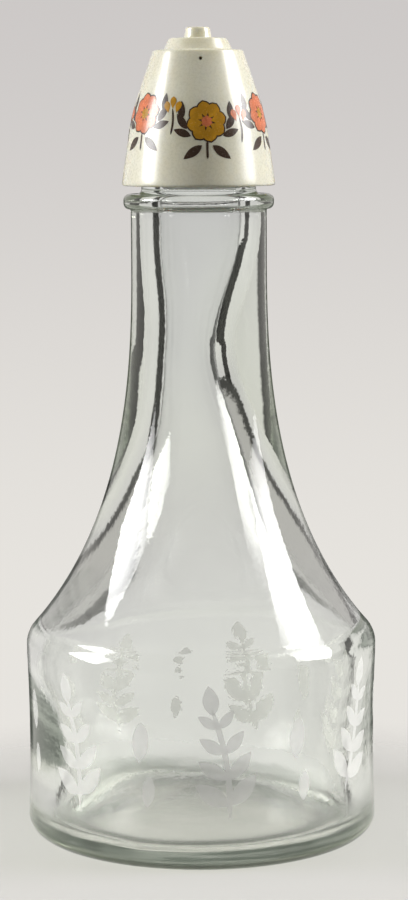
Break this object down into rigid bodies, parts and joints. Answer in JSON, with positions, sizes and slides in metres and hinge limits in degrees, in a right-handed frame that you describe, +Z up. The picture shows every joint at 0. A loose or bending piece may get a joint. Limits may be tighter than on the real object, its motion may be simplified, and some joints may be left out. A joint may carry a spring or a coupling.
{
  "type": "vinegar shaker bottle",
  "caption": "Clear glass shaker bottle with a wide low body and long flared neck, closed by a conical plastic screw cap with a stepped sprinkler top that opens by turning.",
  "frame": {"origin": "middle of the base, on the plane that the bottle stands on", "axes": "+Z up along the bottle's axis; -Y towards the front, where the vent is; +X to the right seen from the front"},
  "size_m": [0.0888, 0.0888, 0.203],
  "materials": {
    "clear_glass": "clear soda-lime glass, fire-polished, faintly grey-green where thick",
    "ivory_plastic": "moulded, glossy, ivory",
    "natural_plastic": "moulded polyethylene, natural milky white",
    "seal_rubber": "soft, matt, pale grey-buff"
  },
  "bodies": {
    "bottle": {"glass_bottle": "clear_glass"},
    "insert": {"sprinkler_insert": "natural_plastic"},
    "washer": {"seal_washer": "seal_rubber"},
    "cap": {"screw_cap": "ivory_plastic"}
  },
  "joints": [
    {"name": "closure_lift", "type": "slide", "parent": "bottle", "child": "insert", "axis": [0, 0, 1], "range_m": [0, 0.04]},
    {"name": "cap_rise", "type": "slide", "parent": "insert", "child": "washer", "axis": [0, 0, 1], "range_m": [0, 0.00636]},
    {"name": "cap_turn", "type": "hinge", "parent": "washer", "child": "cap", "pos_m": [0, 0, 0.164], "axis": [0, 0, 1], "range_deg": [0, 540]}
  ],
  "couplings": [
    {"joint": "cap_rise", "follows": "cap_turn", "m_per_rad": 0.00067375}
  ]
}
